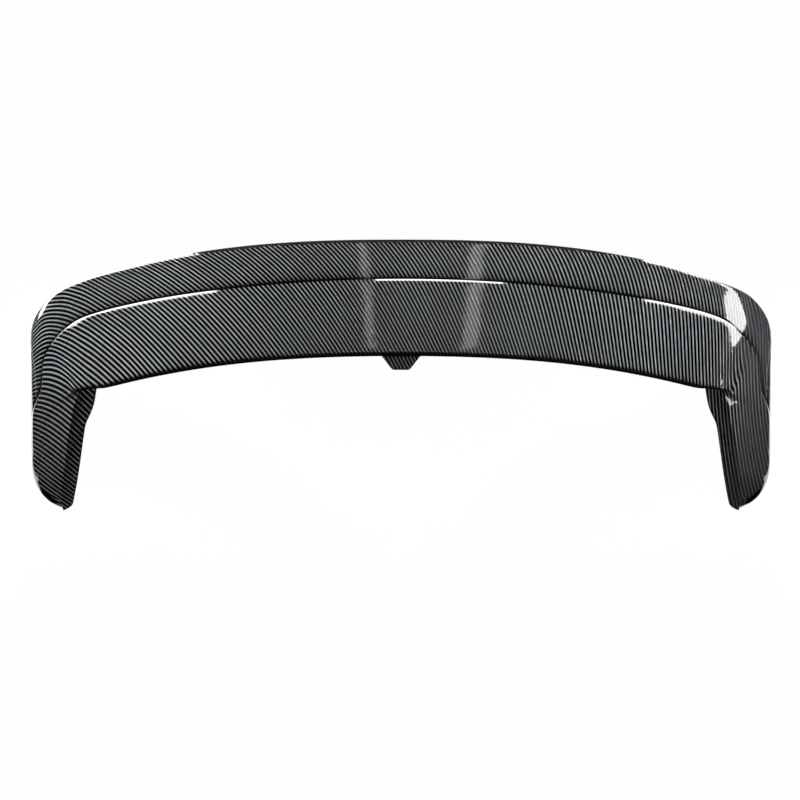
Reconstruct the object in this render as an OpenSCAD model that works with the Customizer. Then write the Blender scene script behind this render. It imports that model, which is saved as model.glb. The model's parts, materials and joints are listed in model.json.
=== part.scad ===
// Roof spoiler for a hatchback, blow-moulded in one piece with a hollow section.
// +X runs across the car, +Y towards the front of the car and +Z up. The origin is the middle of
// the flat land under the blade that is bonded to the tailgate.
// Every cross-section is a closed ring of points between two paths: the outer path follows the
// roof edge and the outer side of the leg, and the inner path follows the rear window.

/* [Blade] */
// Overall width across the outer sides of the two legs
span = 1180; // [1100:10:1300]
// Length along the car, from the front edge to the trailing edge at the middle
chord = 253; // [232:1:275]
// Height lost from the front edge to the trailing edge
blade_fall = 50.5; // [40:0.5:60]
// Height from the top of the front edge down to the window line at the middle
blade_depth = 76; // [72:1:90]
// Height lost from the middle to the start of each corner
crown = 84; // [60:1:100]
// Shape of the crown: 2 is an even curve, and more is flatter in the middle
crown_power = 2.6; // [2.2:0.05:3]
// How far the ends of the blade lie ahead of its middle, in plan
bow = 14; // [0:1:24]

/* [Raised panel] */
// Distance from the front edge back to the step in the upper surface
step_back = 98; // [82:1:110]
// Height of the step up to the raised rear panel
step_rise = 4.5; // [2.5:0.5:6]
// Height of the flat trailing face
lip_height = 10.5; // [8:0.5:14]
// Rounding of the trailing face's two edges
lip_round = 2.5; // [1.5:0.5:3.5]

/* [Front edge] */
// Height of the front face, which meets the roof
front_face = 24; // [18:1:30]
// Rounding between the front face and the upper surface
front_round = 9; // [6:1:12]

/* [Corner] */
// Width of the corner between the blade and the leg, in rear view
corner_width = 80; // [65:1:95]
// Height of the same corner
corner_height = 86; // [75:1:105]

/* [Leg] */
// Height from the start of the corner down to the leg's tip
leg_drop = 312; // [285:1:340]
// Width of the leg where it leaves the blade, in rear view
leg_width = 116; // [105:1:130]
// Width of the leg's tip
tip_width = 18; // [15:1:24]
// How far the outer side curves inward to the tip
tip_inset = 49; // [35:1:60]
// Angle of the mounting side from the vertical, which is that of the tailgate
rake = 31; // [26:1:33]
// Length of the tip along the car, from its mounting side to its rear ridge
tip_chord = 23; // [20:0.5:30]
// Height over which the outer side curves inward to the tip
tip_curve = 66; // [55:1:80]
// Extra width of the inner face under the blade
gusset = 9; // [2:0.5:14]
// How far below the start of the corner that extra width ends
gusset_drop = 198; // [185:1:215]

/* [Middle tab] */
// Width of the tab under the trailing edge, at its root
tab_width = 72; // [52:1:90]
// Width of the same tab along its lower edge
tab_tip_width = 32; // [20:1:40]
// Distance the tab stands down from the underside
tab_height = 31; // [18:1:36]

/* [Moulding] */
// Thickness of the moulded wall
wall = 3; // [2:0.25:3.5]
// Width of the flat land under the blade, across the car
land_width = 180; // [120:10:220]
// Height the lands stand out from the moulding
land_height = 2; // [1.5:0.25:3]

/* [Hidden] */

front_y = chord / 2;
tail_y = -chord / 2;
half = span / 2;
corner_x = half - corner_width;
corner_slope = crown_power * crown / corner_x;
side_top = crown + corner_height;
tip_z = crown + leg_drop;
side_bottom = tip_z - tip_curve;
tip_x = half - tip_inset;

function mix(a, b, t) = a + (b - a) * t;
function clamp01(t) = min(1, max(0, t));
function smooth(t) = let (c = clamp01(t)) c * c * (3 - 2 * c);
function bezier(p, t) =
    let (s = 1 - t) s * s * s * p[0] + 3 * s * s * t * p[1] + 3 * s * t * t * p[2] + t * t * t * p[3];

// The outer path in rear view, as [x, z]. The place q runs 0 to 1 along the blade, 1 to 2 round the
// corner, 2 to 3 down the side and 3 to 4 round to the tip.
corner_pull = 0.86;
function outer_path(q) =
    q <= 1 ? [q * corner_x, -crown * pow(q, crown_power)]
    : q <= 2 ? bezier([
        [corner_x, -crown],
        [corner_x + corner_pull * corner_width, -crown - corner_pull * corner_width * corner_slope],
        [half, -side_top + corner_pull * (corner_height - corner_width * corner_slope)],
        [half, -side_top]], q - 1)
    : q <= 3 ? [half, mix(-side_top, -side_bottom, q - 2)]
    : bezier([[half, -side_bottom], [half, -side_bottom - 40], [tip_x + 26, -tip_z + 2],
        [tip_x, -tip_z]], q - 3);

// The inner path: the window line under the blade, its corner, and the inner edge of the leg.
inner_top_x = half - leg_width;
inner_corner_x = inner_top_x - 36;
inner_crown = crown * pow(inner_corner_x / corner_x, crown_power);
inner_slope = crown_power * inner_crown / inner_corner_x;
inner_start = -blade_depth - inner_crown;
inner_turn = 56;
gusset_end = crown + gusset_drop;
inner_tip = [tip_x - tip_width, -tip_z + tip_width * 0.35];
function inner_line(z) = mix(inner_top_x, inner_tip[0], (z - inner_start) / (inner_tip[1] - inner_start))
    - gusset * smooth((gusset_end + z) / 26);
function inner_path(q) =
    q <= 1 ? [q * inner_corner_x, -blade_depth - inner_crown * pow(q, crown_power)]
    : q <= 2 ? let (z = inner_start - inner_turn)
        bezier([[inner_corner_x, inner_start],
            [inner_corner_x + 18, inner_start - 18 * inner_slope],
            [inner_line(z) - 3, z + 28], [inner_line(z), z]], q - 1)
    : let (z = mix(inner_start - inner_turn, inner_tip[1], (q - 2) / 2)) [inner_line(z), z];
function width_at(q) = norm(inner_path(q) - outer_path(q));
// The ridge down the back of the leg runs straight past the extra width of the inner face.
function ridge_width(q) = width_at(q) - gusset * smooth(q - 1) * smooth((gusset_end + inner_path(q)[1]) / 26);

// The mounting side follows the raked plane of the tailgate. Blade share is 1 on the blade and 0 on
// the leg.
function blade_share(q) = 1 - smooth((q - 0.95) / 0.9);
function lean(q) = (outer_path(q)[1] - inner_path(q)[1]) / width_at(q);
function face_depth(q) = mix(min(12, width_at(q) * 0.4), front_face, blade_share(q));
function mount_line(q, depth) = let (fall = max(0, max(0, -outer_path(q)[1] - crown) + lean(q) * depth
        - mix(-3, front_face * lean(q), blade_share(q))))
    front_y - tan(rake) * fall * smooth(fall / 60);

// Places along the car, as y, of the lines that shape each ring.
function front_line(q) = mount_line(q, face_depth(q));
function window_line(q) = mount_line(q, width_at(q));
ridge_sweep = mount_line(4, face_depth(4)) - tip_chord - tail_y - 14;
function ridge_line(q) = tail_y + mix(6, 14, smooth((q - 0.8) / 0.5))
    + ridge_sweep * (0.43 * clamp01((q - 1.3) / 2.7) + 0.57 * smooth(q - 3));
function side_length(q) = front_line(q) - ridge_line(q);
function step_depth(q) = step_back - 6 * pow(min(q, 1), 2) - 2.4 * cos(360 * min(q, 1.1) / 1.1)
    + 30 * smooth((q - 0.93) / 0.55);
function step_line(q) = front_line(q) - min(side_length(q) * 0.66,
    mix(step_depth(q), 24, smooth((q - 1.85) / 0.9)));
function tail_line(q) = min(tail_y + 55 * pow(max(0, q - 1.2), 1.15),
    step_line(q) - min(12, side_length(q) * 0.28));
function step_fade(q) = 1 - smooth((q - 1.9) / 0.9);
function lip_fade(q) = 1 - smooth((q - 1.1) / 0.9);
side_curve = 1.9;
function ridge_share(q) = mix(mix(mix(0.8, 0.862, smooth((q - 1.35) / 0.45)), 0.79, smooth((q - 1.85) / 0.95)),
    0.34, pow(clamp01(q - 3), 3));

// Depth below the outer path of the upper surface without its raised panel, at a place y.
function deepen(q) = 1 + 0.27 * pow(min(q, 1), 1.5);
function blade_top(q, y) = let (t = (front_y - y) / chord)
    deepen(q) * (blade_fall + step_rise) * (1.08 * t - 0.08 * t * t);
function side_depth(q, y) =
    let (t = clamp01((front_line(q) - y) / side_length(q)))
    ridge_share(q) * ridge_width(q) * pow(t, side_curve);
function top_depth(q, y) = mix(side_depth(q, y), blade_top(q, y), blade_share(q));
function lip_top(q) = top_depth(q, tail_line(q)) - step_rise * step_fade(q);
function ridge_depth(q) = mix(ridge_share(q) * ridge_width(q),
    lip_top(q) + lip_height * deepen(q), blade_share(q));

// Extra depth of the middle tab at a distance x from the middle.
function tab_depth(x) = tab_height * clamp01((tab_width / 2 - x) / (tab_width / 2 - tab_tip_width / 2));

// The mounting side of a ring runs from the window line forward to the front face. Its land is
// the part between two shares of that length, raised on some of the rings.
land_from = 0.25;
land_to = 0.75;
land_slope = 1.5;
function mount_side(q, raised) =
    let (a = [width_at(q), window_line(q)], b = [face_depth(q), front_line(q)],
         u = (b - a) / norm(b - a), out = [u[1], -u[0]] * raised,
         f = a + (b - a) * land_from, g = a + (b - a) * land_to)
    [a, f - u * land_slope, f + out, g + out, g + u * land_slope];

// One ring of points as [depth, y], from the front face over the top and back underneath.
front_parts = 5;
rear_parts = 8;
function ring(q, x, raised) =
    let (yf = front_line(q), ys = step_line(q), yt = tail_line(q), yr = ridge_line(q), yw = window_line(q),
         w = width_at(q), b = blade_share(q), sf = step_fade(q), h = step_rise * sf, lf = lip_fade(q),
         face = face_depth(q), r = min(front_round, (yf - ys) * 0.5),
         r0 = top_depth(q, yf - r), foot_y = yt + mix(-2, lip_round, lf),
         lip_top = lip_top(q), lip = lip_height * deepen(q), ridge_d = ridge_depth(q),
         foot_d = mix(top_depth(q, yt - 2), lip_top + lip, lf))
    concat(
        [[face, yf], [r + r0 * 0.5, yf]],
        [for (a = [30, 60]) [r0 + r * (1 - sin(a)) - r0 * 0.2, yf - r * (1 - cos(a))]],
        [for (i = [0:front_parts]) let (y = mix(yf - r, ys + 3, i / front_parts)) [top_depth(q, y), y]],
        [[top_depth(q, ys + 0.8) + 0.5 * sf, ys + 0.8],
         [top_depth(q, ys - 1) - h * 0.65, ys - 1],
         [top_depth(q, ys - 2.5) - h * 0.93, ys - 2.5]],
        [for (i = [0:rear_parts]) let (y = mix(ys - 5, yt + lip_round, i / rear_parts))
            [top_depth(q, y) - h, y]],
        [[lip_top + 0.3 * lip_round, yt + 0.3 * lip_round], [lip_top + lip_round, yt],
         [lip_top + lip - lip_round, yt + 1], [lip_top + lip, yt + lip_round]] * lf
            + [for (p = [[0.95, 0.7], [0.6, -0.2], [0.1, -1], [0, -2]])
                [top_depth(q, yt + p[1]) - h * p[0], yt + p[1]]] * (1 - lf),
        [for (i = [1:4]) let (t = i / 4, y = mix(foot_y, yr, t))
            [mix(side_depth(q, y), mix(foot_d, ridge_d, t), b), y]],
        [for (p = [[0.01, 0], [0.025, 1], [0.16, 1], [0.42, 0.03], [0.75, 0]])
            [mix(ridge_d, w, p[0]) + p[1] * tab_depth(x), mix(yr, yw, p[0])]],
        mount_side(q, raised)
    );

// Distances along the blade at which rings stand close together to shape the tab and the land.
land_end = land_width / 2;
tab_marks = [0, 8, tab_tip_width / 2 - 2, tab_tip_width / 2 + 1, tab_width / 2 - 2, tab_width / 2 + 1];
blade_marks = concat(tab_marks, [60, land_end, land_end + land_slope],
    [for (i = [1:11]) mix(land_end + land_slope, corner_x, 1 - pow(1 - i / 12, 1.15))]);
leg_land = [2.1, 2.78];
stations = concat(
    [for (x = blade_marks) x / corner_x],
    [for (i = [0:13]) 1 + i / 14],
    [2, leg_land[0] - 0.015, leg_land[0], 2.2, 2.3, 2.42, 2.54, 2.66, leg_land[1], leg_land[1] + 0.015, 2.9, 3],
    [for (i = [1:8]) 3 + i / 8]);

function is_middle(q) = q * corner_x < land_end + 0.01;
function is_raised(q) = is_middle(q) || (q > leg_land[0] - 0.001 && q < leg_land[1] + 0.001);
land_y = mount_side(0, land_height);
land_middle = (land_y[2] + land_y[3]) / 2;
tip_slant = 0.55;
function place(q, p) = let (o = outer_path(q), i = inner_path(q), n = (i - o) / norm(i - o),
    lift = tip_slant * (front_line(q) - p[1]) * smooth((q - 2.8) / 1.2))
    [o[0] + n[0] * p[0], p[1] + bow * pow(min(q, 1), crown_power) - land_middle[1],
     o[1] + n[1] * p[0] + land_middle[0] + lift];
function placed_ring(q) =
    [for (p = ring(q, q <= 1 ? q * corner_x : half, is_raised(q) ? land_height : 0)) place(q, p)];
// The middle land is one flat face, so its points keep the height of the middle ring.
middle_ring = placed_ring(0);
land_points = [len(middle_ring) - 3, len(middle_ring) - 2];
function outer_ring(q) = let (r = placed_ring(q)) !is_middle(q) ? r
    : [for (i = [0:len(r) - 1]) i < land_points[0] || i > land_points[1] ? r[i]
        : [r[i][0], middle_ring[i][1], middle_ring[i][2]]];

// The tip is closed by rings that shrink as they go down.
tip_ring = outer_ring(4);
tip_middle = [for (k = [0:2]) [for (p = tip_ring) p[k]] * [for (p = tip_ring) 1] / len(tip_ring)];
tip_caps = [for (c = [[0.88, 2.5], [0.6, 4.5]])
    [for (p = tip_ring) tip_middle + (p - tip_middle) * c[0] - [0, c[1] * 0.3, c[1]]]];

// The cavity's rings are inset from the outer ones by the wall.
function unit(v) = v / norm(v);
function inset(ring, by) = let (n = len(ring))
    [for (i = [0:n - 1]) let (a = ring[(i + n - 1) % n], b = ring[i], c = ring[(i + 1) % n],
        u = unit(b - a), v = unit(c - b), m = unit([-u[1] - v[1], u[0] + v[0]]))
        b + m * by / max(0.5, m * [-u[1], u[0]])];
core_top = 7;
function core_ring(q) =
    let (yf = front_line(q), ys = step_line(q), yt = tail_line(q), yr = ridge_line(q), w = width_at(q),
         c = 1 - smooth((q - 1) / 0.6), r = front_round * 0.7, h = step_rise * c, y0 = yf - r,
         blade = [y0, (y0 + ys) / 2, ys + 1, ys - 5, mix(ys, yt, 0.35), mix(ys, yt, 0.7), yt + 1],
         rise = [0, 0, 0, 1, 1, 1, 1], ridge_d = ridge_depth(q), low = lip_top(q) + lip_height * deepen(q))
    concat([[face_depth(q), yf], [mix(r, 5, 1 - c), yf]],
        [for (i = [0:core_top - 1]) let (y = mix(mix(y0, yr, 0.08 + 0.9 * i / core_top), blade[i], c))
            [top_depth(q, y) - h * rise[i], y]],
        [[mix(ridge_d, low - 1, c), mix(yr, yt + 3, c)], mix([mix(ridge_d, w, 0.1), mix(yr, window_line(q), 0.1)],
            [low, yr + 4], c), [mix(ridge_d, w, 0.5), mix(yr, window_line(q), 0.5)], [w, window_line(q)]]);
function inner_ring(q) = [for (p = inset(core_ring(q), wall)) place(q, p)];
core_stations = concat([for (i = [0:10]) i / 11], [for (i = [0:7]) 1 + i / 8], [for (i = [0:4]) 2 + i / 5],
    [3, 3.25, 3.5, 3.7, 3.84]);

function mirrored(half_rings) = concat(
    [for (i = [len(half_rings) - 1:-1:1]) [for (p = half_rings[i]) [-p[0], p[1], p[2]]]],
    half_rings);

module skin(rings) {
    n = len(rings[0]);
    m = len(rings);
    points = [for (r = rings) each r];
    walls = [for (i = [0:m - 2]) for (j = [0:n - 1]) let (k = (j + 1) % n)
        each [[i * n + j, (i + 1) * n + k, i * n + k], [i * n + j, (i + 1) * n + j, (i + 1) * n + k]]];
    ends = [[for (j = [0:n - 1]) j], [for (j = [n - 1:-1:0]) (m - 1) * n + j]];
    polyhedron(points, concat(walls, ends), convexity = 6);
}

module spoiler_body() {
    color([0.08, 0.08, 0.09]) difference() {
        skin(mirrored(concat([for (q = stations) outer_ring(q)], tip_caps)));
        skin(mirrored([for (q = core_stations) inner_ring(q)]));
    }
}

spoiler_body();
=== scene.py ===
import bpy
import json
import math
import numpy as np
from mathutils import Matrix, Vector

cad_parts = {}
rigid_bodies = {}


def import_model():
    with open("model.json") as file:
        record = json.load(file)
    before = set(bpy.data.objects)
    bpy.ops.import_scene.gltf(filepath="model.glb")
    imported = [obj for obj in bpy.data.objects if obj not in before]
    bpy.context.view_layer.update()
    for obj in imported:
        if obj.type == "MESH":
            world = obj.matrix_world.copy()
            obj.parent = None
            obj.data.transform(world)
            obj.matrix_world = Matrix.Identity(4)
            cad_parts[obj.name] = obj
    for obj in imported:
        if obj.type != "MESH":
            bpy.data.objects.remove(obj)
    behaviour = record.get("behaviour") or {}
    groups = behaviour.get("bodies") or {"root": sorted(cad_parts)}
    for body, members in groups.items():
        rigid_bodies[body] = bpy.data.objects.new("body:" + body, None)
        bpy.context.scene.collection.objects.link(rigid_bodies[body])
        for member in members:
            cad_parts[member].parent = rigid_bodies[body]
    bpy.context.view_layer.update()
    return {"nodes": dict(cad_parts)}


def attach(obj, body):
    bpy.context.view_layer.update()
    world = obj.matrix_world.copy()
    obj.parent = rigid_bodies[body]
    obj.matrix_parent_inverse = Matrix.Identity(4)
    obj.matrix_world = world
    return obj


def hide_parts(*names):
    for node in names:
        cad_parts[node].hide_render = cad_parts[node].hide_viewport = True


# Roof spoiler: a hollow moulding under a printed twill film and clear lacquer.
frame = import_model()
print("frame loaded:", ", ".join(sorted(frame["nodes"])))

# Sizes of the moulding in mm, as in the part's source. The rake is in degrees, and crownPower has no unit.
spoiler = {
    "span": 1180.0, "chord": 253.0, "bladeFall": 50.5, "bladeDepth": 76.0,
    "crown": 84.0, "crownPower": 2.6, "bow": 14.0,
    "stepBack": 98.0, "stepRise": 4.5, "lipHeight": 10.5, "lipRound": 2.5,
    "frontFace": 24.0, "frontRound": 9.0, "cornerWidth": 80.0, "cornerHeight": 86.0,
    "legDrop": 312.0, "legWidth": 116.0, "tipWidth": 18.0, "tipInset": 49.0,
    "rake": 31.0, "tipChord": 23.0, "tipCurve": 66.0, "gusset": 9.0, "gussetDrop": 198.0,
    "tabWidth": 72.0, "tabTipWidth": 32.0, "tabHeight": 31.0, "landWidth": 180.0, "landHeight": 2.0,
}
s = spoiler
frontY = s["chord"] / 2
tailY = -s["chord"] / 2
half = s["span"] / 2
cornerX = half - s["cornerWidth"]
cornerSlope = s["crownPower"] * s["crown"] / cornerX
sideTop = s["crown"] + s["cornerHeight"]
tipZ = s["crown"] + s["legDrop"]
sideBottom = tipZ - s["tipCurve"]
tipX = half - s["tipInset"]

# The corner's pull is a share of its sides. The rest are mm: reaches of curve handles and the gusset's blend.
cornerPull = 0.86
tipPull, tipSweep = 40, 26
gussetBlend = 26
innerCorner = {"reach": 36, "drop": 56, "pull": 18, "offset": 3, "rise": 28}


def mix(a, b, t):
    return a + (b - a) * t


def clamp01(t):
    return min(1.0, max(0.0, t))


def ease(t):
    c = clamp01(t)
    return c * c * (3 - 2 * c)


def bezier(p, t):
    r = 1 - t
    a, b, c, d = (np.array(point) for point in p)
    return a * r**3 + 3 * r * r * t * b + 3 * r * t * t * c + t**3 * d


def outerPath(q):
    if q <= 1:
        return np.array([q * cornerX, -s["crown"] * max(q, 0) ** s["crownPower"]])
    if q <= 2:
        return bezier([
            (cornerX, -s["crown"]),
            (cornerX + cornerPull * s["cornerWidth"],
             -s["crown"] - cornerPull * s["cornerWidth"] * cornerSlope),
            (half, -sideTop + cornerPull * (s["cornerHeight"] - s["cornerWidth"] * cornerSlope)),
            (half, -sideTop)], q - 1)
    if q <= 3:
        return np.array([half, mix(-sideTop, -sideBottom, q - 2)])
    return bezier([(half, -sideBottom), (half, -sideBottom - tipPull),
                   (tipX + tipSweep, -tipZ + 2), (tipX, -tipZ)], q - 3)


innerTopX = half - s["legWidth"]
innerCornerX = innerTopX - innerCorner["reach"]
innerCrown = s["crown"] * (innerCornerX / cornerX) ** s["crownPower"]
innerSlope = s["crownPower"] * innerCrown / innerCornerX
innerStart = -s["bladeDepth"] - innerCrown
innerTip = np.array([tipX - s["tipWidth"], -tipZ + s["tipWidth"] * 0.35])


def gussetFade(z):
    return ease((s["crown"] + s["gussetDrop"] + z) / gussetBlend)


def innerLine(z):
    straight = mix(innerTopX, innerTip[0], (z - innerStart) / (innerTip[1] - innerStart))
    return straight - s["gusset"] * gussetFade(z)


def innerPath(q):
    if q <= 1:
        return np.array([q * innerCornerX, -s["bladeDepth"] - innerCrown * max(q, 0) ** s["crownPower"]])
    z = innerStart - innerCorner["drop"]
    if q <= 2:
        pull = innerCorner["pull"]
        return bezier([(innerCornerX, innerStart), (innerCornerX + pull, innerStart - pull * innerSlope),
                       (innerLine(z) - innerCorner["offset"], z + innerCorner["rise"]),
                       (innerLine(z), z)], q - 1)
    z = mix(z, innerTip[1], (q - 2) / 2)
    return np.array([innerLine(z), z])


def widthAt(q):
    return float(np.linalg.norm(innerPath(q) - outerPath(q)))


def bladeShare(q):
    return 1 - ease((q - 0.95) / 0.9)


def ridgeWidth(q):
    return widthAt(q) - s["gusset"] * ease(q - 1) * gussetFade(innerPath(q)[1])


def lean(q):
    return (outerPath(q)[1] - innerPath(q)[1]) / widthAt(q)


def faceDepth(q):
    return mix(min(12, widthAt(q) * 0.4), s["frontFace"], bladeShare(q))


def mountLine(q, depth):
    fall = max(0, max(0, -outerPath(q)[1] - s["crown"]) + lean(q) * depth
               - mix(-3, s["frontFace"] * lean(q), bladeShare(q)))
    return frontY - math.tan(math.radians(s["rake"])) * fall * ease(fall / 60)


def frontLine(q):
    return mountLine(q, faceDepth(q))


def windowLine(q):
    return mountLine(q, widthAt(q))


ridgeSweep = mountLine(4, faceDepth(4)) - s["tipChord"] - tailY - 14


def ridgeLine(q):
    return (tailY + mix(6, 14, ease((q - 0.8) / 0.5))
            + ridgeSweep * (0.43 * clamp01((q - 1.3) / 2.7) + 0.57 * ease(q - 3)))


def sideLength(q):
    return frontLine(q) - ridgeLine(q)


def stepDepth(q):
    return (s["stepBack"] - 6 * min(q, 1) ** 2 - 2.4 * math.cos(2 * math.pi * min(q, 1.1) / 1.1)
            + 30 * ease((q - 0.93) / 0.55))


def stepLine(q):
    return frontLine(q) - min(sideLength(q) * 0.66, mix(stepDepth(q), 24, ease((q - 1.85) / 0.9)))


def tailLine(q):
    return min(tailY + 55 * max(0, q - 1.2) ** 1.15, stepLine(q) - min(12, sideLength(q) * 0.28))


def stepFade(q):
    return 1 - ease((q - 1.9) / 0.9)


def lipFade(q):
    return 1 - ease((q - 1.1) / 0.9)


def ridgeShare(q):
    upper = mix(0.8, 0.862, ease((q - 1.35) / 0.45))
    return mix(mix(upper, 0.79, ease((q - 1.85) / 0.95)), 0.34, clamp01(q - 3) ** 3)


def deepen(q):
    return 1 + 0.27 * min(q, 1) ** 1.5


def bladeTop(q, y):
    t = (frontY - y) / s["chord"]
    return deepen(q) * (s["bladeFall"] + s["stepRise"]) * (1.08 * t - 0.08 * t * t)


def sideDepth(q, y):
    t = clamp01((frontLine(q) - y) / sideLength(q))
    return ridgeShare(q) * ridgeWidth(q) * t**1.9


def topDepth(q, y):
    return mix(sideDepth(q, y), bladeTop(q, y), bladeShare(q))


def lipTop(q):
    return topDepth(q, tailLine(q)) - s["stepRise"] * stepFade(q)


def ridgeDepth(q):
    return mix(ridgeShare(q) * ridgeWidth(q), lipTop(q) + s["lipHeight"] * deepen(q), bladeShare(q))


def tabDepth(x):
    return s["tabHeight"] * clamp01((s["tabWidth"] / 2 - x) / (s["tabWidth"] / 2 - s["tabTipWidth"] / 2))


def mountSide(q, raised):
    a = np.array([widthAt(q), windowLine(q)])
    b = np.array([faceDepth(q), frontLine(q)])
    u = (b - a) / np.linalg.norm(b - a)
    out = np.array([u[1], -u[0]]) * raised
    f, g = a + (b - a) * 0.25, a + (b - a) * 0.75
    return [a, f - u * 1.5, f + out, g + out, g + u * 1.5]


# Lines of the half ring: y in mm from the stepped edge, with the share of its rise where it steps down.
stepMarks = {"bandEnd": 9, "beadStart": 4.5, "top": 0.8, "upper": 0.9, "lower": 4.2, "panelStart": 8.6}
stepShares = {"bead": 0.5, "upper": 0.66, "lower": 0.9}
# The front edge is tighter than in the solids by noseTrim mm, and its arc lies deeper by a share, noseDrop.
noseTrim, noseDrop = 2.5, 0.02
# Where the lip has faded out: share of the step's rise and mm from the lip's foot.
flatLip = ((0.95, 0.7), (0.6, -0.2), (0.1, -1), (0, -2))
# From the ridge to the mounting face: share of the way, and share of the tab's depth.
innerMarks = ((0.01, 0), (0.025, 1), (0.16, 1), (0.42, 0.03), (0.75, 0))


def ring(q, x, raised):
    yf, ys, yt, yr, yw = frontLine(q), stepLine(q), tailLine(q), ridgeLine(q), windowLine(q)
    w, b, sf, lf = widthAt(q), bladeShare(q), stepFade(q), lipFade(q)
    h, face = s["stepRise"] * sf, faceDepth(q)
    r = min(s["frontRound"] - noseTrim, (yf - ys) * 0.5)
    r0 = topDepth(q, yf - r)
    footY = yt + mix(-2, s["lipRound"], lf)
    lt, lip, rd, lr = lipTop(q), s["lipHeight"] * deepen(q), ridgeDepth(q), s["lipRound"]
    footD = mix(topDepth(q, yt - 2), lt + lip, lf)
    points = [(face, yf), (r + r0 * 0.5, yf)]
    for a in (30, 60):
        turn = math.radians(a)
        points.append((r0 + r * (1 - math.sin(turn)) + r0 * noseDrop, yf - r * (1 - math.cos(turn))))
    band = [mix(yf - r, ys + stepMarks["bandEnd"], i / 4) for i in range(5)]
    for y in band + [ys + stepMarks["beadStart"]]:
        points.append((topDepth(q, y), y))
    top, upper, lower = ys + stepMarks["top"], ys - stepMarks["upper"], ys - stepMarks["lower"]
    points += [(topDepth(q, top) + stepShares["bead"] * sf, top),
               (topDepth(q, upper) - h * stepShares["upper"], upper),
               (topDepth(q, lower) - h * stepShares["lower"], lower)]
    for i in range(9):
        y = mix(ys - stepMarks["panelStart"], yt + lr, i / 8)
        points.append((topDepth(q, y) - h, y))
    lipPoints = [(lt + 0.3 * lr, yt + 0.3 * lr), (lt + lr, yt), (lt + lip - lr, yt + 1), (lt + lip, yt + lr)]
    flat = [(topDepth(q, yt + dy) - h * k, yt + dy) for k, dy in flatLip]
    points += [tuple(np.array(m) * lf + np.array(n) * (1 - lf)) for m, n in zip(lipPoints, flat)]
    for i in range(1, 5):
        t = i / 4
        y = mix(footY, yr, t)
        points.append((mix(sideDepth(q, y), mix(footD, rd, t), b), y))
    for along, drop in innerMarks:
        points.append((mix(rd, w, along) + drop * tabDepth(x), mix(yr, yw, along)))
    return points + [tuple(p) for p in mountSide(q, raised)]


landEnd = s["landWidth"] / 2
# Where the rings stand: in mm across the blade, then from 1 to 4 round the corner and down the leg.
tabMarks = [0, 8, s["tabTipWidth"] / 2 - 2, s["tabTipWidth"] / 2 + 1,
            s["tabWidth"] / 2 - 2, s["tabWidth"] / 2 + 1]
bladeMarks = (tabMarks + [60, landEnd, landEnd + 1.5]
              + [mix(landEnd + 1.5, cornerX, 1 - (1 - i / 12) ** 1.15) for i in range(1, 12)])
legLand = (2.1, 2.78)
stations = ([x / cornerX for x in bladeMarks] + [1 + i / 14 for i in range(14)]
            + [2, legLand[0] - 0.015, legLand[0], 2.2, 2.3, 2.42, 2.54, 2.66]
            + [legLand[1], legLand[1] + 0.015, 2.9, 3] + [3 + i / 8 for i in range(1, 9)])


def isMiddle(q):
    return q * cornerX < landEnd + 0.01


def isRaised(q):
    return isMiddle(q) or legLand[0] - 0.001 < q < legLand[1] + 0.001


landPoints = mountSide(0, s["landHeight"])
landMiddle = (np.array(landPoints[2]) + np.array(landPoints[3])) / 2


def place(q, p):
    o, i = outerPath(q), innerPath(q)
    n = (i - o) / np.linalg.norm(i - o)
    lift = 0.55 * (frontLine(q) - p[1]) * ease((q - 2.8) / 1.2)
    return np.array([o[0] + n[0] * p[0], p[1] + s["bow"] * min(q, 1) ** s["crownPower"] - landMiddle[1],
                     o[1] + n[1] * p[0] + landMiddle[0] + lift])


def placedRing(q):
    across = q * cornerX if q <= 1 else half
    raised = s["landHeight"] if isRaised(q) else 0
    return np.array([place(q, p) for p in ring(q, across, raised)])


# Numbers of the lines in a ring: the land's two edges, the ridge, and the rear panel.
landIndex = [37, 38]
ridgeIndex = 29
panelLines = slice(13, 21)
middleRing = placedRing(0)

# Where the photo's camera stands: what it aims at in mm, degrees above level, and mm away.
photoView = {
    "aim": (0, -109.87, -49.11), "tilt": 32.0, "distance": 3078.0,
    "lens": 90, "sensor": 36, "shiftX": -0.00125, "shiftY": -0.0839,
}

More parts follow.
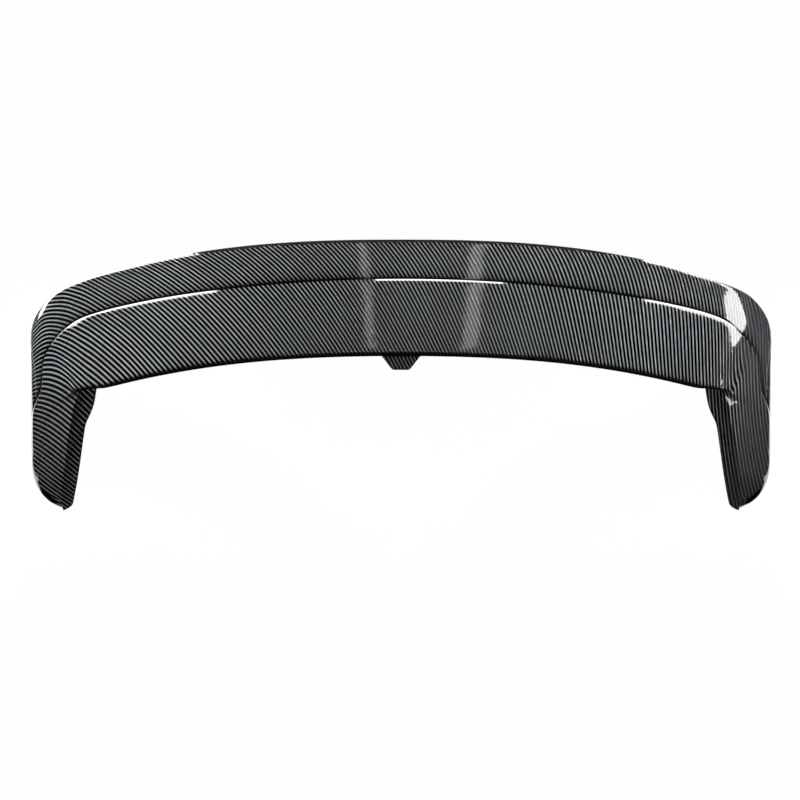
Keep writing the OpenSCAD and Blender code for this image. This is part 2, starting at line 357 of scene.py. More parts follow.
# The printed film's stripes are laid out as the camera sees them and kept in the piece's UV map, so they
# are true from that side only. A scratch program fitted the terms to stripes that it measured on the photo.
# Each term is (power across, power up, stripes), and the corner's terms count from "from" outwards.
film = {
    "width": 600.0, "height": 200.0,                     # mm that scale the two coordinates
    "from": -408.0, "corner": 160.0,                     # mm: start and scale of the left corner's own terms
    "turn": 0.3,                                         # share of facing below which the film stretches
    "edge": 575.0, "low": -276.0, "high": 143.0,         # mm beyond which the stripes run straight on
    "stripes": [
        (0, 1, 18.17), (0, 2, -0.95), (0, 3, -0.52), (0, 4, 4.63), (0, 5, 1.52), (1, 0, 101.23),
        (1, 1, -15.96), (1, 2, -7.66), (1, 3, 2.62), (1, 4, 2.72), (2, 0, 20.21), (2, 1, -23.73),
        (2, 2, 10.02), (2, 3, 13.44), (3, 0, -27.13), (3, 1, 1.23), (3, 2, 8.58), (4, 0, -6.16),
        (4, 1, 26.13), (5, 0, 22.53)],
    "stripesCorner": [
        (2, 0, 14.19), (2, 1, -2.2), (2, 2, -11.44), (2, 3, -7.15), (3, 0, -31.08), (3, 1, -26.94),
        (3, 2, 9.26), (4, 0, 31.08), (4, 1, 33.31)],
    "across": [
        (0, 1, 33.77), (0, 2, -6.22), (0, 3, 1.52), (0, 4, 1.34), (0, 5, 0.69), (1, 0, -59.2),
        (1, 1, 14.41), (1, 2, 0.72), (1, 3, -4), (1, 4, 0.45), (2, 0, 32), (2, 1, -25.31),
        (2, 2, 12.51), (2, 3, 0.32), (3, 0, 12.09), (3, 1, -2.17), (3, 2, -13.11), (4, 0, -11),
        (4, 1, 19.65), (5, 0, 2.44)],
    "acrossCorner": [
        (2, 0, 13.18), (2, 1, 3.97), (2, 2, -46.11), (2, 3, -11.29), (3, 0, -32.51), (3, 1, -55.08),
        (3, 2, 13.05), (4, 0, 22.75), (4, 1, 38.38)],
}
filmLean = math.radians(photoView["tilt"])
filmAhead = np.array([0, math.cos(filmLean), -math.sin(filmLean)])
filmUp = np.array([0, math.sin(filmLean), math.cos(filmLean)])
filmSpot = np.array(photoView["aim"]) - photoView["distance"] * filmAhead


def stripeCount(kind, across, up):
    a, b = np.clip(across, -film["edge"], film["edge"]), np.clip(up, film["low"], film["high"])
    total, slopeA, slopeB = 0, 0, 0
    beyond = np.maximum(0, (film["from"] - a) / film["corner"])
    for terms, w, scale in ((film[kind], a / film["width"], film["width"]),
                            (film[kind + "Corner"], beyond, -film["corner"])):
        v = b / film["height"]
        total = total + sum(c * w**i * v**j for i, j, c in terms)
        slopeA = slopeA + sum(c * i * w**max(i - 1, 0) * v**j for i, j, c in terms) / scale
        slopeB = slopeB + sum(c * j * w**i * v**max(j - 1, 0) for i, j, c in terms) / film["height"]
    return total + slopeA * (across - a) + slopeB * (up - b)


# How far the film reaches round from the faces that the camera sees, at each point of the half rings.
def filmReach(rings):
    towards = filmSpot - rings
    towards /= np.linalg.norm(towards, axis=2, keepdims=True)
    along = np.roll(rings, -1, axis=1) - rings
    down = np.gradient(rings, axis=0)
    normal = np.cross(down, along)
    normal /= np.maximum(np.linalg.norm(normal, axis=2, keepdims=True), 1e-9)
    facing = (normal * towards).sum(axis=2)
    if facing[5, panelLines].mean() < 0:
        facing = -facing
    facing = np.clip(facing / film["turn"], 0, 1)
    facing[:, ridgeIndex:] = 1                           # the inner face is printed straight on
    length = np.linalg.norm(along, axis=2) * (1 - facing * facing * (3 - 2 * facing))
    reach = np.zeros(rings.shape[:2])
    for j in range(ridgeIndex - 1, -1, -1):
        reach[:, j] = reach[:, j + 1] + length[:, j]
    for j in range(ridgeIndex + 1, rings.shape[1]):
        reach[:, j] = reach[:, j - 1] - length[:, j - 1]
    return reach


# The piece. Its line numbers are those of the points in a ring.
spoilerSkin = {
    "levels": 2,
    "creases": {0: 0.45, 35: 0.55, 36: 0.6, 37: 0.75, 38: 0.75, 39: 0.6},   # sharpness of the ring lines
    "tabCreases": {30: 0.55, 31: 0.5, 32: 0.5, 33: 0.55},                # the same, along the tab only
    # Painted shade on the film along the stepped edge and under the lip.
    "shade": {8: 0.3, 9: 1.3, 10: 1.3, 11: 0.8,
              22: 0.5, 23: 0.95, 24: 1.0, 25: 1.0, 26: 0.85, 27: 0.4},
    "cover": {0: 0.25, 34: 0.1, 35: 0.75, 36: 1, 37: 1, 38: 1, 39: 1},       # 1 where the moulding is bare
    "bareHalf": 0.33,                                    # m either side of the middle with a bare front edge
    "bareFront": {1: 0.8, 2: 0.8, 3: 0.8, 4: 0.7},       # the cover along that front edge
    "caps": ((0.9, 1.6), (0.66, 3.6), (0.32, 4.6)),      # share of the tip ring and mm below it
}


# The right half's rings with their closing caps, and how far each belongs to the blade.
def halfRings():
    rows = []
    for q in stations:
        r = placedRing(q)
        if isMiddle(q):                                  # the middle land is one flat face
            r[landIndex] = middleRing[landIndex] * [0, 1, 1] + r[landIndex] * [1, 0, 0]
        rows.append(r)
    shares = [bladeShare(q) for q in stations]
    tip = rows[-1]
    middle = tip.mean(axis=0)
    for size, down in spoilerSkin["caps"]:
        rows.append(middle + (tip - middle) * size - [0, down * 0.3, down])
        shares.append(0)
    return rows, shares


def skinMesh(rings):
    count, across = len(rings), len(rings[0])
    faces = []
    for i in range(count - 1):
        for j in range(across):
            k = (j + 1) % across
            faces.append((i * across + j, i * across + k, (i + 1) * across + k, (i + 1) * across + j))
    faces.append(tuple(range(across - 1, -1, -1)))
    faces.append(tuple((count - 1) * across + j for j in range(across)))
    mesh = bpy.data.meshes.new("spoilerSkin")
    mesh.from_pydata([tuple(p / 1000) for r in rings for p in r], [], faces)
    mesh.update()
    body = bpy.data.objects.new("spoilerSkin", mesh)
    bpy.context.collection.objects.link(body)
    bpy.ops.object.select_all(action="DESELECT")
    body.select_set(True)
    bpy.context.view_layer.objects.active = body
    bpy.ops.object.mode_set(mode="EDIT")
    bpy.ops.mesh.select_all(action="SELECT")
    bpy.ops.mesh.normals_make_consistent(inside=False)
    bpy.ops.object.mode_set(mode="OBJECT")
    return body


def sharpenLines(mesh, places, across):
    crease = mesh.attributes.new("crease_edge", "FLOAT", "EDGE")
    sharp = np.zeros(len(mesh.edges))
    for e in mesh.edges:
        a, b = e.vertices
        if a % across == b % across and abs(a // across - b // across) == 1:
            onTab = max(places[a // across], places[b // across]) * cornerX < s["tabWidth"] / 2 + 2
            sharp[e.index] = spoilerSkin["creases"].get(a % across, 0)
            if onTab:
                sharp[e.index] = max(sharp[e.index], spoilerSkin["tabCreases"].get(a % across, 0))
    crease.data.foreach_set("value", sharp)


def paintMasks(mesh, places, across, reach, shares):
    corner = np.empty(len(mesh.loops), dtype=np.int32)
    mesh.loops.foreach_get("vertex_index", corner)
    flatReach, flatShare = reach.reshape(-1), np.repeat(shares, across)
    layer = mesh.uv_layers.new(name="reach")
    layer.data.foreach_set("uv", np.stack([flatReach[corner] / 1000, flatShare[corner]], 1).reshape(-1))

    bare = np.array([spoilerSkin["cover"].get(j, 0) for j in range(across)] * len(places), dtype=float)
    # The coat is left off the front edge's middle, where it would mirror a white line that the photo lacks.
    for i in range(len(places)):
        if abs(mesh.vertices[i * across + 2].co.x) < spoilerSkin["bareHalf"]:
            for j, cover in spoilerSkin["bareFront"].items():
                bare[i * across + j] = cover
    # Painted shade along the stepped edge and under the lip, faded out round the corner with the lip.
    shade = []
    for q in places:
        for j in range(across):
            fade = lipFade(q) if 21 < j < 28 else 1
            shade.append(spoilerSkin["shade"].get(j, 0) * fade)
    shade = np.array(shade, dtype=float)
    # The cover map holds the bare mask and the painted shade.
    layer = mesh.uv_layers.new(name="cover")
    layer.data.foreach_set("uv", np.stack([bare[corner], shade[corner]], 1).reshape(-1))


def buildSkin():
    rows, shares = halfRings()
    reach = filmReach(np.array(rows))
    for i in range(len(stations), len(rows)):
        reach[i] = reach[len(stations) - 1]
    rings = [r * [-1, 1, 1] for r in rows[:0:-1]] + rows
    reach = np.concatenate([reach[:0:-1], reach])
    shares = shares[:0:-1] + shares
    places = list(stations) + [4] * len(spoilerSkin["caps"])
    places = places[:0:-1] + places
    across = len(rings[0])
    body = skinMesh(rings)
    sharpenLines(body.data, places, across)
    paintMasks(body.data, places, across, reach, shares)
    smooth = body.modifiers.new("Smooth form", "SUBSURF")
    smooth.levels = smooth.render_levels = spoilerSkin["levels"]
    bpy.ops.object.modifier_apply(modifier=smooth.name)
    bpy.ops.object.shade_smooth()
    return body


# The film's layout, in stripes, from the finished surface.
def layFilm(body):
    mesh = body.data
    corner = np.empty(len(mesh.loops), dtype=np.int32)
    mesh.loops.foreach_get("vertex_index", corner)
    points = np.empty(len(mesh.vertices) * 3)
    mesh.vertices.foreach_get("co", points)
    points = points.reshape(-1, 3)[corner] * 1000
    reach = np.empty(len(mesh.loops) * 2)
    mesh.uv_layers["reach"].data.foreach_get("uv", reach)
    reach = reach.reshape(-1, 2)
    spread, share = reach[:, 0] * 1000, reach[:, 1]
    ahead = points - filmSpot
    scale = photoView["distance"] / (ahead @ filmAhead)
    across = ahead[:, 0] * scale + np.sign(points[:, 0]) * (1 - share) * spread
    up = (ahead @ filmUp) * scale + share * spread
    stripes = stripeCount("stripes", across, up)
    partner = stripeCount("across", across, up)
    layer = mesh.uv_layers.new(name="film")
    layer.data.foreach_set("uv", np.stack([2 * (stripes + partner), 2 * (partner - stripes)], 1).reshape(-1))
    mesh.uv_layers.remove(mesh.uv_layers["reach"])


body = buildSkin()
layFilm(body)
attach(body, "root")
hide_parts("spoiler_body")
print("body:", len(body.data.polygons), "faces")

# Printed twill film under clear lacquer, which stops short of the mounting side.
finish = {
    "dark": (0.0012, 0.0013, 0.0015, 1), "bright": (0.27, 0.285, 0.3, 1), "bare": (0.017, 0.017, 0.018, 1),
    "stripePower": 3.3, "beadDepth": 0.3, "fibreDepth": 0.5, "brightLow": 0.5, "brightHigh": 1.02,
    "filmRoughness": 0.5, "bareRoughness": 0.5, "coatRoughness": 0.025, "coatIor": 1.5,
    # Depth of the painted shade, then where and how strongly light is painted on the right side.
    "paintedShadeDepth": 1.0, "evenFrom": 0.508, "evenTo": 0.53,
    "evenLevel": 0.2, "evenMost": 0.65, "evenBead": 0.65,
    "tornLow": 0.47, "tornHigh": 0.55, "tornDepth": 0.35, "dustLevel": 0.1, "dust": (0.45, 0.44, 0.42, 1),
    "weaveBump": 0.12, "peelBump": 0.035, "grainBump": 0.2, "bumpDepth": 0.001,
}


# Shader groups. Each one gives out colours, masks, values or normals.
def addNode(tree, kind, x, y, **settings):
    node = tree.nodes.new(kind)
    node.location = (x, y)
    for key, value in settings.items():
        setattr(node, key, value)
    return node


def calc(tree, operation, x, y, *inputs):
    node = addNode(tree, "ShaderNodeMath", x, y, operation=operation)
    for slot, value in zip(node.inputs, inputs):
        if isinstance(value, (int, float)):
            slot.default_value = value
        else:
            tree.links.new(value, slot)
    return node.outputs[0]


def startGroup(name, inputs, outputs):
    tree = bpy.data.node_groups.new(name, "ShaderNodeTree")
    for label, kind in inputs:
        tree.interface.new_socket(name=label, in_out="INPUT", socket_type=kind)
    for label, kind in outputs:
        tree.interface.new_socket(name=label, in_out="OUTPUT", socket_type=kind)
    return tree, addNode(tree, "NodeGroupInput", -1400, 0), addNode(tree, "NodeGroupOutput", 1200, 0)


# Two-over, two-under twill in tow widths: which tow lies on top, and its rounded shape.
def twillGroup():
    tree, source, result = startGroup(
        "twillWeave", [("Tows", "NodeSocketVector")],
        [("Stripe", "NodeSocketFloat"), ("Shape", "NodeSocketFloat"), ("Fibre", "NodeSocketFloat")])
    split = addNode(tree, "ShaderNodeSeparateXYZ", -1200, 0)
    tree.links.new(source.outputs["Tows"], split.inputs[0])
    u, v = split.outputs[0], split.outputs[1]
    columnU, columnV = calc(tree, "FLOOR", -1000, 100, u), calc(tree, "FLOOR", -1000, -50, v)
    restU, restV = calc(tree, "FRACT", -1000, 250, u), calc(tree, "FRACT", -1000, -200, v)
    step = calc(tree, "FLOORED_MODULO", -650, 0, calc(tree, "SUBTRACT", -820, 0, columnU, columnV), 4.0)
    weft = calc(tree, "LESS_THAN", -480, 0, step, 1.5)
    warp = calc(tree, "SUBTRACT", -320, -100, 1.0, weft)
    # Place across the tow and along the float, each from 0 to 1.
    across = calc(tree, "ADD", 0, 100, calc(tree, "MULTIPLY", -160, 150, weft, restV),
                  calc(tree, "MULTIPLY", -160, 0, warp, restU))
    alongWeft = calc(tree, "MULTIPLY", -160, 350, calc(tree, "ADD", -320, 350, step, restU), 0.5)
    alongWarp = calc(tree, "MULTIPLY", -160, -250,
                     calc(tree, "ADD", -320, -250, calc(tree, "SUBTRACT", -480, -250, 3.0, step), restV), 0.5)
    along = calc(tree, "ADD", 160, -50, calc(tree, "MULTIPLY", 0, 300, weft, alongWeft),
                 calc(tree, "MULTIPLY", 0, -200, warp, alongWarp))
    def hump(value, x, y):
        return calc(tree, "MULTIPLY", x + 300, y, 4.0,
                    calc(tree, "MULTIPLY", x + 150, y, value, calc(tree, "SUBTRACT", x, y, 1.0, value)))
    round1, round2 = hump(across, 200, 200), hump(along, 320, -100)
    shape = calc(tree, "MULTIPLY", 820, 50, calc(tree, "POWER", 680, 200, round1, 1.1),
                 calc(tree, "POWER", 680, -100, round2, 0.9))
    # Fine fibres run along each tow.
    lengthways = addNode(tree, "ShaderNodeCombineXYZ", 200, -400)
    tree.links.new(calc(tree, "MULTIPLY", 40, -400, across, 9.0), lengthways.inputs[0])
    tree.links.new(calc(tree, "MULTIPLY", 40, -550, along, 0.7), lengthways.inputs[1])
    tree.links.new(calc(tree, "ADD", 40, -700, calc(tree, "MULTIPLY", -120, -700, columnU, 3.7),
                        calc(tree, "MULTIPLY", -120, -850, columnV, 5.3)), lengthways.inputs[2])
    fibre = addNode(tree, "ShaderNodeTexNoise", 400, -400)
    fibre.inputs["Scale"].default_value = 1.0
    fibre.inputs["Detail"].default_value = 2.0
    tree.links.new(lengthways.outputs[0], fibre.inputs["Vector"])
    # The floats run together into slanting stripes, four tows apart.
    apart = calc(tree, "SUBTRACT", -280, 600, u, v)
    slant = calc(tree, "MULTIPLY", 40, 600, calc(tree, "SUBTRACT", -120, 600, apart, 0.5), math.pi / 2)
    swell = calc(tree, "MULTIPLY_ADD", 360, 600, calc(tree, "COSINE", 200, 600, slant), 0.5, 0.5)
    tree.links.new(calc(tree, "POWER", 520, 600, swell, finish["stripePower"]), result.inputs["Stripe"])
    tree.links.new(shape, result.inputs["Shape"])
    tree.links.new(fibre.outputs[0], result.inputs["Fibre"])
    return tree


# Soft mottling, dust and hair scratches that lie on every finish of the part.
def wearGroup():
    tree, source, result = startGroup(
        "surfaceWear", [("Position", "NodeSocketVector")],
        [("Mottle", "NodeSocketFloat"), ("Dust", "NodeSocketFloat"), ("Scratch", "NodeSocketFloat"),
         ("Peel", "NodeSocketFloat"), ("Grain", "NodeSocketFloat")])
    def noise(scale, detail, x, y, stretch=None):
        node = addNode(tree, "ShaderNodeTexNoise", x, y)
        node.inputs["Scale"].default_value = scale
        node.inputs["Detail"].default_value = detail
        position = source.outputs["Position"]
        if stretch:
            mapping = addNode(tree, "ShaderNodeMapping", x - 200, y)
            mapping.inputs["Scale"].default_value = stretch
            mapping.inputs["Rotation"].default_value = (0.2, 0.3, 0.7)
            tree.links.new(position, mapping.inputs["Vector"])
            position = mapping.outputs[0]
        tree.links.new(position, node.inputs["Vector"])
        return node.outputs[0]
    def ramp(value, low, high, x, y):
        node = addNode(tree, "ShaderNodeMapRange", x, y, interpolation_type="SMOOTHSTEP")
        node.inputs["From Min"].default_value = low
        node.inputs["From Max"].default_value = high
        tree.links.new(value, node.inputs["Value"])
        return node.outputs[0]
    tree.links.new(noise(7.0, 4.0, -900, 400), result.inputs["Mottle"])
    tree.links.new(ramp(noise(620.0, 2.0, -900, 150), 0.69, 0.76, -600, 150), result.inputs["Dust"])
    hairs = noise(46.0, 1.0, -900, -100, (0.5, 9.0, 9.0))
    tree.links.new(ramp(hairs, 0.735, 0.76, -600, -100), result.inputs["Scratch"])
    tree.links.new(noise(150.0, 1.0, -900, -350), result.inputs["Peel"])
    tree.links.new(noise(900.0, 2.0, -900, -600), result.inputs["Grain"])
    return tree


def filmMaterial():
    material = bpy.data.materials.new("twillFilm")
    material.use_nodes = True
    tree = material.node_tree
    bsdf = tree.nodes["Principled BSDF"]
    bsdf.location = (900, 0)
    link = tree.links.new
    tows = addNode(tree, "ShaderNodeUVMap", -1300, 200, uv_map="film")
    cover = addNode(tree, "ShaderNodeUVMap", -1300, -500, uv_map="cover")
    position = addNode(tree, "ShaderNodeTexCoord", -1300, -100)
    weave = addNode(tree, "ShaderNodeGroup", -1050, 200, node_tree=twillGroup())
    wear = addNode(tree, "ShaderNodeGroup", -1050, -150, node_tree=wearGroup())
    link(tows.outputs[0], weave.inputs["Tows"])
    link(position.outputs["Object"], wear.inputs["Position"])
    split = addNode(tree, "ShaderNodeSeparateXYZ", -1050, -500)
    link(cover.outputs[0], split.inputs[0])

    def blend(fac, a, b, x, y):
        node = addNode(tree, "ShaderNodeMix", x, y, data_type="RGBA")
        for slot, value in ((node.inputs["Factor"], fac), (node.inputs["A"], a), (node.inputs["B"], b)):
            if isinstance(value, (tuple, float)):
                slot.default_value = value
            else:
                link(value, slot)
        return node.outputs["Result"]

    # Bright tows: rounded, streaked with fibres and a little uneven from place to place.
    bead = calc(tree, "MULTIPLY_ADD", -750, 350, weave.outputs["Shape"], finish["beadDepth"],
                1 - finish["beadDepth"])
    shine = calc(tree, "MULTIPLY", -600, 350, weave.outputs["Stripe"], bead)
    # Beyond evenFrom m to the right, an even weave is mixed in: painted light, as if both directions of tow
    # shone alike there.
    sideways = addNode(tree, "ShaderNodeSeparateXYZ", -1050, 500)
    link(position.outputs["Object"], sideways.inputs[0])
    turned = addNode(tree, "ShaderNodeMapRange", -850, 500, interpolation_type="SMOOTHSTEP")
    turned.inputs["From Min"].default_value = finish["evenFrom"]
    turned.inputs["From Max"].default_value = finish["evenTo"]
    turned.inputs["To Max"].default_value = finish["evenMost"]
    link(sideways.outputs[0], turned.inputs["Value"])
    evenShare = turned.outputs[0]
    evenShape = calc(tree, "MULTIPLY_ADD", -900, 650, weave.outputs["Shape"], finish["evenBead"],
                     1 - finish["evenBead"])
    alike = calc(tree, "MULTIPLY", -750, 650, evenShape, finish["evenLevel"])
    striped = calc(tree, "MULTIPLY", -650, 550, shine, calc(tree, "SUBTRACT", -750, 500, 1.0, evenShare))
    shine = calc(tree, "ADD", -550, 600, calc(tree, "MULTIPLY", -650, 700, evenShare, alike), striped)
    fibre = calc(tree, "MULTIPLY_ADD", -600, 150, weave.outputs["Fibre"], finish["fibreDepth"],
                 1 - finish["fibreDepth"] / 2)
    mottle = calc(tree, "MULTIPLY_ADD", -600, -20, wear.outputs["Mottle"],
                  finish["brightHigh"] - finish["brightLow"], finish["brightLow"])
    level = calc(tree, "MULTIPLY", -400, 250, calc(tree, "MULTIPLY", -500, 300, shine, fibre),
                 calc(tree, "ADD", -500, 0, mottle, 0.25))
    # The painted shade along the stepped edge and under the lip.
    lit = calc(tree, "MAXIMUM", -400, -300, 0.0,
               calc(tree, "MULTIPLY_ADD", -500, -300, split.outputs[1], -finish["paintedShadeDepth"], 1.0))
    level = calc(tree, "MULTIPLY", -300, 200, level, lit)
    weaveColour = blend(level, finish["dark"], finish["bright"], -200, 300)
    dustShare = calc(tree, "MULTIPLY", -350, 60, wear.outputs["Dust"], finish["dustLevel"])
    dusty = blend(dustShare, weaveColour, finish["dust"], 0, 250)

    # The film's torn edge and the bare moulding beyond it.
    covered = calc(tree, "SUBTRACT", -950, -620, split.outputs[0], finish["tornDepth"] / 2)
    ragged = calc(tree, "MULTIPLY_ADD", -850, -500, wear.outputs["Peel"], finish["tornDepth"], covered)
    edge = addNode(tree, "ShaderNodeMapRange", -650, -500, interpolation_type="SMOOTHSTEP")
    edge.inputs["From Min"].default_value = finish["tornLow"]
    edge.inputs["From Max"].default_value = finish["tornHigh"]
    link(ragged, edge.inputs["Value"])
    bare = edge.outputs[0]
    link(blend(bare, dusty, finish["bare"], 250, 200), bsdf.inputs["Base Color"])

    rough = calc(tree, "MULTIPLY_ADD", 100, -80, wear.outputs["Mottle"], 0.12, finish["filmRoughness"] - 0.06)
    roughBare = calc(tree, "MULTIPLY_ADD", 100, -220, wear.outputs["Mottle"], 0.2,
                     finish["bareRoughness"] - 0.1)
    roughMix = addNode(tree, "ShaderNodeMix", 350, -120, data_type="FLOAT")
    link(bare, roughMix.inputs[0])
    link(rough, roughMix.inputs[2])
    link(roughBare, roughMix.inputs[3])
    link(roughMix.outputs[0], bsdf.inputs["Roughness"])
    coat = calc(tree, "SUBTRACT", 350, -320, 1.0, bare)
    link(coat, bsdf.inputs["Coat Weight"])
    coatMottle = calc(tree, "MULTIPLY_ADD", 150, -480, wear.outputs["Mottle"], 0.02,
                      finish["coatRoughness"] - 0.01)
    coatRough = calc(tree, "MULTIPLY_ADD", 350, -480, wear.outputs["Scratch"], 0.12, coatMottle)
    link(coatRough, bsdf.inputs["Coat Roughness"])
    bsdf.inputs["Coat IOR"].default_value = finish["coatIor"]
    bsdf.inputs["Specular IOR Level"].default_value = 0.0

    # Weave and grain under the lacquer, and the lacquer's own faint orange peel.
    heights = addNode(tree, "ShaderNodeMix", 350, -650, data_type="FLOAT")
    link(bare, heights.inputs[0])
    link(calc(tree, "MULTIPLY", 150, -620, weave.outputs["Shape"], finish["weaveBump"]), heights.inputs[2])
    link(calc(tree, "MULTIPLY", 150, -760, wear.outputs["Grain"], finish["grainBump"]), heights.inputs[3])
    under = addNode(tree, "ShaderNodeBump", 600, -500)
    under.inputs["Distance"].default_value = finish["bumpDepth"]
    link(heights.outputs[0], under.inputs["Height"])
    link(under.outputs[0], bsdf.inputs["Normal"])
    over = addNode(tree, "ShaderNodeBump", 600, -750)
    over.inputs["Distance"].default_value = finish["bumpDepth"]
    link(calc(tree, "MULTIPLY", 400, -850, wear.outputs["Peel"], finish["peelBump"]), over.inputs["Height"])
    link(over.outputs[0], bsdf.inputs["Coat Normal"])
    return material


body.data.materials.clear()
body.data.materials.append(filmMaterial())
print("material: twill film")

# Studio: a white paper floor, one lamp overhead and a narrow one at each side. Glowing cards stand beyond the
# part, shaped so that the lacquer mirrors them where the photo has white highlights.
studio = {
    "floor": -0.75, "paperNear": -0.45, "paperFar": 4.2, "paperHalf": 1.24, "farHalf": 2.4,
    "paper": (0.86, 0.86, 0.86, 1), "paperShare": 0.93, "worldReflected": 0.02, "worldFill": 0.15,
    # Painted shadow: the lacquer mirrors the paper only beyond darkHalf m aside, or darkFarHalf m aside past
    # darkFar m ahead, and sees it dark nearer the part.
    "darkHalf": 1.5, "darkFar": 0.95, "darkFarHalf": 0.47,
    # Each card's corners are degrees round from the front and degrees up, then its strength.
    "cardDistance": 40.0,
    "cards": [
        ("leftBox", [(-44, 3), (-12, 3), (-15.7, 23), (-18.9, 31.7), (-21.8, 37.5), (-25, 43), (-28, 44.5),
                     (-32, 43), (-36, 40), (-38.4, 37.4), (-39.6, 35.4), (-39.4, 32), (-38.2, 28),
                     (-37.8, 25), (-38.6, 19), (-43.8, 12)], 12.0),
        ("middleBox", [(-1.3, 3), (5.2, 3), (7.8, 24), (10.8, 41), (12.3, 46), (0, 47.5),
                       (-2.5, 46.5)], 12.0),
        ("rightFrontBox", [(15.5, 2), (31, 2), (32.8, 10), (36, 20), (38.3, 28.5), (37.4, 36), (36.2, 38.5),
                           (34.3, 38.1), (30.6, 34.6), (26.2, 28), (21.8, 19)], 12.0),
        ("rightBox", [(38.6, 28.3), (44, 28.3), (44.6, 33.4), (43.8, 35), (42.4, 36.2), (40.6, 36.9),
                      (38.8, 37.6), (37.9, 36)], 11.0),
        ("streakLeft", [(-4.7, 51), (-3.7, 51), (-3.7, 60), (-4.7, 60)], 1.6),
        ("streakRight", [(9.4, 51), (11.3, 51), (11.3, 60), (9.4, 60)], 2.0),
        ("kickCard", [(75, -12.5), (80, -14.5), (87, -18.5), (86, -20.5), (79, -17.5)], 5.0)],
    # The two cards on the floor, each from one x to another.
    "floorCards": [("leftCard", -1.24, -0.7), ("rightCard", 0.7, 1.24)],
    "floorCardNear": 0.1, "floorCardFar": 1, "floorCardLevel": -0.745, "floorCardStrength": 1.9,
    # Each lamp's place, aim, two sides in m, watts and spread in degrees.
    "lamps": [
        ("topLamp", (0, -1.0, 3.9), (0, -0.1, 0), 2.2, 1.6, 32, 180),
        ("leftLamp", (-2.6, -1.5, 1.3), (-0.45, -0.12, 0.02), 0.5, 0.5, 1.3, 13),
        ("rightLamp", (2.6, -1.5, 1.3), (0.45, -0.12, 0.02), 0.5, 0.5, 1.35, 13)],
}


def emitting(name, strength):
    material = bpy.data.materials.new(name)
    material.use_nodes = True
    tree = material.node_tree
    tree.nodes.clear()
    light = addNode(tree, "ShaderNodeEmission", 0, 0)
    light.inputs["Color"].default_value = (1, 1, 1, 1)
    light.inputs["Strength"].default_value = strength
    out = addNode(tree, "ShaderNodeOutputMaterial", 200, 0)
    tree.links.new(light.outputs[0], out.inputs["Surface"])
    return material


def paperMaterial():
    material = bpy.data.materials.new("whitePaper")
    material.use_nodes = True
    tree = material.node_tree
    tree.nodes.clear()
    matt = addNode(tree, "ShaderNodeBsdfDiffuse", 0, 100)
    matt.inputs["Color"].default_value = studio["paper"]
    glow = addNode(tree, "ShaderNodeEmission", 0, -50)
    glow.inputs["Color"].default_value = (1, 1, 1, 1)
    path = addNode(tree, "ShaderNodeLightPath", -900, 300)
    position = addNode(tree, "ShaderNodeTexCoord", -900, -200)
    split = addNode(tree, "ShaderNodeSeparateXYZ", -700, -200)
    tree.links.new(position.outputs["Object"], split.inputs[0])
    # Near the part the paper is dark to the lacquer: a painted shadow in its reflections.
    side = calc(tree, "ABSOLUTE", -500, -150, split.outputs[0])
    aside = calc(tree, "GREATER_THAN", -350, -150, side, studio["darkHalf"])
    farAside = calc(tree, "GREATER_THAN", -350, -250, side, studio["darkFarHalf"])
    beyond = calc(tree, "GREATER_THAN", -350, -350, split.outputs[1], studio["darkFar"])
    zone = calc(tree, "MAXIMUM", -100, -200, aside, calc(tree, "MULTIPLY", -200, -300, farAside, beyond))
    seen = path.outputs["Is Camera Ray"]
    mirrored = calc(tree, "ADD", -650, 200, path.outputs["Is Glossy Ray"],
                    path.outputs["Is Transmission Ray"])
    share = calc(tree, "MULTIPLY_ADD", -250, 300, seen, studio["paperShare"], mirrored)
    strength = calc(tree, "MULTIPLY_ADD", -100, -50, mirrored, zone, seen)
    tree.links.new(strength, glow.inputs["Strength"])
    mixed = addNode(tree, "ShaderNodeMixShader", 200, 100)
    tree.links.new(share, mixed.inputs[0])
    tree.links.new(matt.outputs[0], mixed.inputs[1])
    tree.links.new(glow.outputs[0], mixed.inputs[2])
    out = addNode(tree, "ShaderNodeOutputMaterial", 400, 100)
    tree.links.new(mixed.outputs[0], out.inputs["Surface"])
    return material


def staged(name, points, material):
    mesh = bpy.data.meshes.new(name)
    mesh.from_pydata(points, [], [tuple(range(len(points)))])
    mesh.materials.append(material)
    piece = bpy.data.objects.new(name, mesh)
    bpy.context.collection.objects.link(piece)
    return piece


def paperSweep():
    near, far, level = studio["paperNear"], studio["paperFar"], studio["floor"]
    nearSide, farSide = studio["paperHalf"], studio["farHalf"]
    staged("paperSweep", [(-nearSide, near, level), (nearSide, near, level),
                          (farSide, far, level), (-farSide, far, level)], paperMaterial())


def skyCard(name, corners, strength):
    distance = studio["cardDistance"]
    points = [(distance * math.sin(math.radians(a)) * math.cos(math.radians(e)),
               distance * math.cos(math.radians(a)) * math.cos(math.radians(e)),
               distance * math.sin(math.radians(e))) for a, e in corners]
    staged(name, points, emitting(name + "Light", strength))


def floorCard(name, start, end):
    near, far, level = studio["floorCardNear"], studio["floorCardFar"], studio["floorCardLevel"]
    points = [(start, near, level), (end, near, level), (end, far, level), (start, far, level)]
    staged(name, points, emitting(name + "Light", studio["floorCardStrength"]))


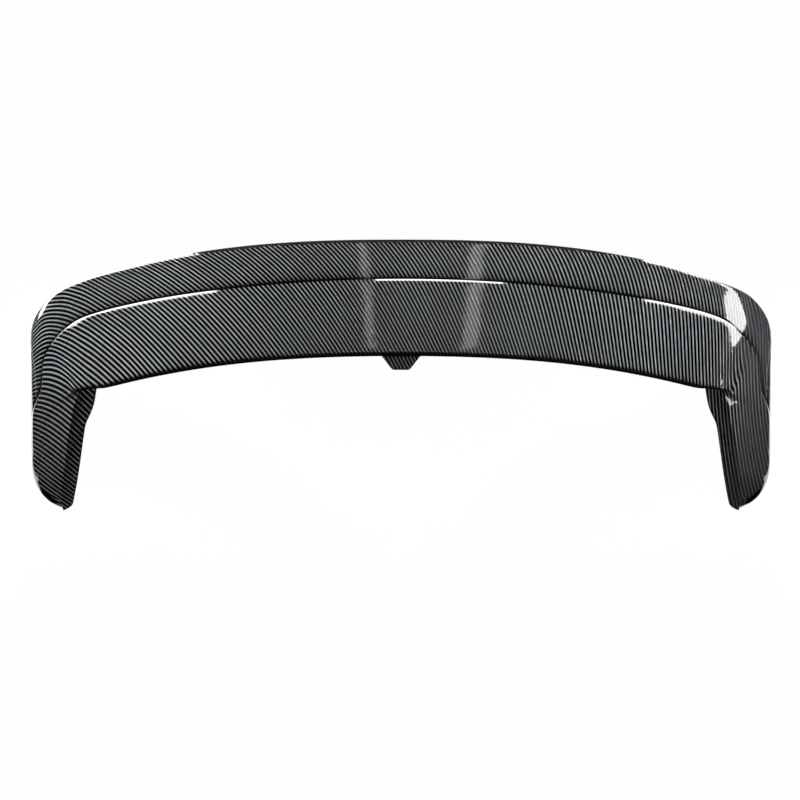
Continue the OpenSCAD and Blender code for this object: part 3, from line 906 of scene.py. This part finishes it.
def areaLamp(name, stand, aim, sizeX, sizeY, watts, spread):
    data = bpy.data.lights.new(name, "AREA")
    data.shape = "RECTANGLE"
    data.size, data.size_y = sizeX, sizeY
    data.energy = watts
    data.spread = math.radians(spread)
    lamp = bpy.data.objects.new(name, data)
    bpy.context.collection.objects.link(lamp)
    lamp.location = stand
    lamp.rotation_euler = (Vector(aim) - Vector(stand)).to_track_quat("-Z", "Y").to_euler()


# The world is white to the camera, faint in the lacquer, and gives a little light all round.
def whiteWorld():
    world = bpy.data.worlds.new("studio")
    world.use_nodes = True
    tree = world.node_tree
    back = tree.nodes["Background"]
    back.inputs["Color"].default_value = (1, 1, 1, 1)
    path = addNode(tree, "ShaderNodeLightPath", -900, 200)
    camera = path.outputs["Is Camera Ray"]
    mirrored = calc(tree, "ADD", -650, 100, path.outputs["Is Glossy Ray"],
                    path.outputs["Is Transmission Ray"])
    seen = calc(tree, "MULTIPLY_ADD", -450, 200, mirrored, studio["worldReflected"], camera)
    other = calc(tree, "SUBTRACT", -450, 0, calc(tree, "SUBTRACT", -550, 0, 1.0, camera), mirrored)
    strength = calc(tree, "MULTIPLY_ADD", -250, 100, other, studio["worldFill"], seen)
    tree.links.new(strength, back.inputs["Strength"])
    return world


def photoCamera():
    data = bpy.data.cameras.new("camera")
    camera = bpy.data.objects.new("camera", data)
    bpy.context.collection.objects.link(camera)
    target = Vector([v / 1000 for v in photoView["aim"]])
    lift = math.radians(photoView["tilt"])
    away = Vector((0, -math.cos(lift), math.sin(lift)))
    camera.location = target + away * (photoView["distance"] / 1000)
    camera.rotation_euler = (math.radians(90) - lift, 0, 0)
    data.lens = photoView["lens"]
    data.sensor_width = photoView["sensor"]
    data.shift_x = photoView["shiftX"]
    data.shift_y = photoView["shiftY"]
    return camera


paperSweep()
for card in studio["cards"]:
    skyCard(*card)
for card in studio["floorCards"]:
    floorCard(*card)
for lamp in studio["lamps"]:
    areaLamp(*lamp)
scene = bpy.context.scene
scene.world = whiteWorld()
scene.camera = photoCamera()
scene.view_settings.view_transform = "Standard"
print("studio:", len(studio["cards"]) + len(studio["floorCards"]), "cards,", len(studio["lamps"]), "lamps")
